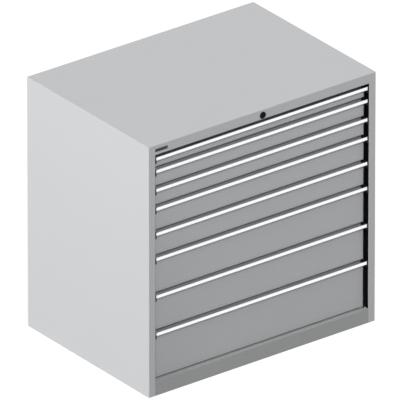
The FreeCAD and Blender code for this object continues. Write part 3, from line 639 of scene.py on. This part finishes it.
def header_plate():
    """The plate: round corners, a soft edge, and a sunken middle within the rim."""
    face = FRONT - PLATE_THICKNESS
    low = (PLATE_LEFT, face, PLATE_MIDDLE - PLATE_HEIGHT / 2)
    high = (PLATE_LEFT + PLATE_LENGTH, FRONT, PLATE_MIDDLE + PLATE_HEIGHT / 2)
    plate = block("header_plate", low, high)
    edit(plate)
    pick_edges(plate, lambda middle, way: abs(way.y) > STRAIGHT)
    bpy.ops.mesh.bevel(offset=PLATE_CORNER, segments=4)
    pick_edges(plate, lambda middle, way: abs(way.y) < SQUARE and middle.y < face + TOUCH)
    bpy.ops.mesh.bevel(offset=PLATE_EDGE, segments=2)
    pick_faces(plate, lambda middle, way: way.y < -STRAIGHT)
    bpy.ops.mesh.inset(thickness=PLATE_RIM)
    push(0, PLATE_SINK, 0)
    leave_edit()
    dress(plate, plate_enamel, "housing")


header_plate()


# Black caps stand against both ends of each grip. They pass behind the lip and hang below it.
# The first four are places behind the front, and the next four are drops below the grip's top.
CAP_FRONT = FRONT + 0.7 * MM
CAP_LIP_BACK = FRONT + 4.6 * MM
CAP_STEP = FRONT + 20.6 * MM
CAP_BACK = FRONT + 43 * MM
CAP_TOP = 0.3 * MM
CAP_LIP_FOOT = 12.6 * MM
CAP_TROUGH = 20.9 * MM
CAP_FOOT = 26 * MM
CAP_THICKNESS = 2 * MM
CAP_ROUNDING = 2.5 * MM
CAP_RIM = 1 * MM
CAP_SINK = 0.4 * MM


def grip_top(drawer):
    """The height of a grip's upper edge."""
    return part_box(f"drawer_{drawer}_handle")[1].z


def grip_cap(name, side):
    """The cap of the top drawer's grip: a thin plate with a sunken outer face."""
    top = grip_top(1)
    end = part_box("drawer_1_handle")[1].x
    low_x, high_x = sorted((side * end, side * (end + CAP_THICKNESS)))
    foot = top - CAP_FOOT
    cap = block(name, (low_x, CAP_FRONT, foot), (high_x, CAP_STEP, top - CAP_TROUGH))
    edit(cap)
    slice_at(CAP_LIP_BACK)
    pick_faces(cap, lambda middle, way: way.z > STRAIGHT)
    push(0, 0, CAP_TROUGH - CAP_LIP_FOOT)
    pick_faces(cap, lambda middle, way: way.z > STRAIGHT and middle.y > CAP_LIP_BACK)
    push(0, 0, CAP_LIP_FOOT - CAP_TOP)
    pick_faces(cap, lambda middle, way: way.y > STRAIGHT and middle.z > top - CAP_TROUGH)
    push(0, CAP_BACK - CAP_STEP, 0)
    pick_edges(cap, lambda middle, way: abs(way.x) > STRAIGHT and middle.z < foot + TOUCH)
    bpy.ops.mesh.bevel(offset=CAP_ROUNDING, segments=4)
    pick_faces(cap, lambda middle, way: way.x * side > STRAIGHT)
    bpy.ops.mesh.inset(thickness=CAP_RIM)
    push(-side * CAP_SINK, 0, 0)
    leave_edit()
    return cap


def copy_down(piece, name, drop):
    """The same piece with its own mesh, lower by drop."""
    copied = piece.copy()
    copied.data = piece.data.copy()
    copied.name = name
    copied.data.transform(Matrix.Translation((0, 0, -drop)))
    bpy.context.scene.collection.objects.link(copied)
    return copied


for side, hand in ((-1, "left"), (1, "right")):
    caps = [grip_cap(f"grip_cap_{hand}_1", side)]
    for drawer in DRAWERS[1:]:
        drop = grip_top(1) - grip_top(drawer)
        caps.append(copy_down(caps[0], f"grip_cap_{hand}_{drawer}", drop))
    for drawer, cap in zip(DRAWERS, caps):
        dress(cap, cap_plastic, f"drawer_{drawer}")


# Floor: white to the camera and in metal, and keeps a faint shadow. Seen from below it is clear.
FLOOR_SIZE = 60
FLOOR_GLOW = 0.86
FLOOR_PAINT = (0.25, 0.25, 0.25, 1)
SKY_LIGHT = 0.3


def show_white(tree):
    """One where the camera, a mirror or a glass looks, and nothing for the light on the object."""
    path = put(tree, "ShaderNodeLightPath").outputs
    seen = sums(tree, "MAXIMUM", path["Is Camera Ray"], path["Is Glossy Ray"])
    return sums(tree, "MAXIMUM", seen, path["Is Transmission Ray"])


def join_shaders(tree, kind, first, second):
    """An Add or Mix node over two shaders, which are its last two sockets."""
    made = put(tree, kind)
    tree.links.new(first.outputs[0], made.inputs[-2])
    tree.links.new(second.outputs[0], made.inputs[-1])
    return made


def floor_white():
    """A matt floor with a glow of its own, which is clear from below."""
    made = bpy.data.materials.new("Studio floor")
    made.use_nodes = True
    tree = made.node_tree
    tree.nodes.clear()
    matt = put(tree, "ShaderNodeBsdfDiffuse", Color=FLOOR_PAINT)
    glow = put(tree, "ShaderNodeEmission", Strength=sums(tree, "MULTIPLY", show_white(tree), FLOOR_GLOW))
    above = join_shaders(tree, "ShaderNodeAddShader", matt, glow)
    floor = join_shaders(tree, "ShaderNodeMixShader", above, put(tree, "ShaderNodeBsdfTransparent"))
    connect(tree, put(tree, "ShaderNodeNewGeometry").outputs["Backfacing"], floor.inputs["Fac"])
    put(tree, "ShaderNodeOutputMaterial", Surface=floor.outputs[0])
    return made


def studio_floor():
    """A wide plain floor under the cabinet."""
    bpy.ops.object.select_all(action="DESELECT")
    bpy.ops.mesh.primitive_plane_add(size=FLOOR_SIZE, location=(0, 0, 0))
    floor = bpy.context.active_object
    floor.name = "studio_floor"
    floor.data.materials.append(floor_white())


def sky():
    """White behind the cabinet, and a low even light on it."""
    world = bpy.data.worlds.new("Studio sky")
    bpy.context.scene.world = world
    world.use_nodes = True
    tree = world.node_tree
    tree.nodes.clear()
    level = spread(tree, show_white(tree), 0, 1, SKY_LIGHT, 1.0)
    glow = put(tree, "ShaderNodeBackground", Color=(1, 1, 1, 1), Strength=level)
    put(tree, "ShaderNodeOutputWorld", Surface=glow.outputs[0])


def sun(name, towards_light, share, softness, in_gloss):
    """A lamp that lights a face square to it by that share of its colour."""
    lamp = bpy.data.lights.new(name, "SUN")
    lamp.energy = share * math.pi
    lamp.angle = math.radians(softness)
    holder = bpy.data.objects.new(name, lamp)
    holder.rotation_euler = Vector(towards_light).to_track_quat("Z", "Y").to_euler()
    holder.visible_glossy = in_gloss
    bpy.context.scene.collection.objects.link(holder)


def camera():
    """Looks at the cabinet's middle from the left, the front and above."""
    lens = bpy.data.cameras.new("Camera")
    lens.lens = LENS / MM
    lens.sensor_width = SENSOR / MM
    lens.clip_end = 2 * DISTANCE
    holder = bpy.data.objects.new("Camera", lens)
    bpy.context.scene.collection.objects.link(holder)
    level = math.cos(ELEVATION)
    back = Vector((math.sin(AZIMUTH) * level, -math.cos(AZIMUTH) * level, math.sin(ELEVATION)))
    right = Vector((math.cos(AZIMUTH), math.sin(AZIMUTH), 0))
    middle = Vector((0, (FRONT + BACK) / 2, HEIGHT / 2))
    holder.location = middle + right * AIM_RIGHT + back.cross(right) * AIM_UP + back * DISTANCE
    holder.rotation_euler = back.to_track_quat("Z", "Y").to_euler()
    bpy.context.scene.camera = holder


# Each lamp's name, the way towards it, its share of the light, its softness in degrees, and
# whether it shows in glossy faces.
LAMPS = (
    ("Key from the left", (-0.9, 0, 0.29), 0.77, 20, True),
    ("Soft light before it", (-0.12, -0.75, 0.65), 0.37, 6, True),
    ("Soft fill behind", (0.6, 0.8, 0.04), 0.42, 20, False),
)

studio_floor()
sky()
for lamp in LAMPS:
    sun(*lamp)
camera()
bpy.context.scene.view_settings.view_transform = "Standard"
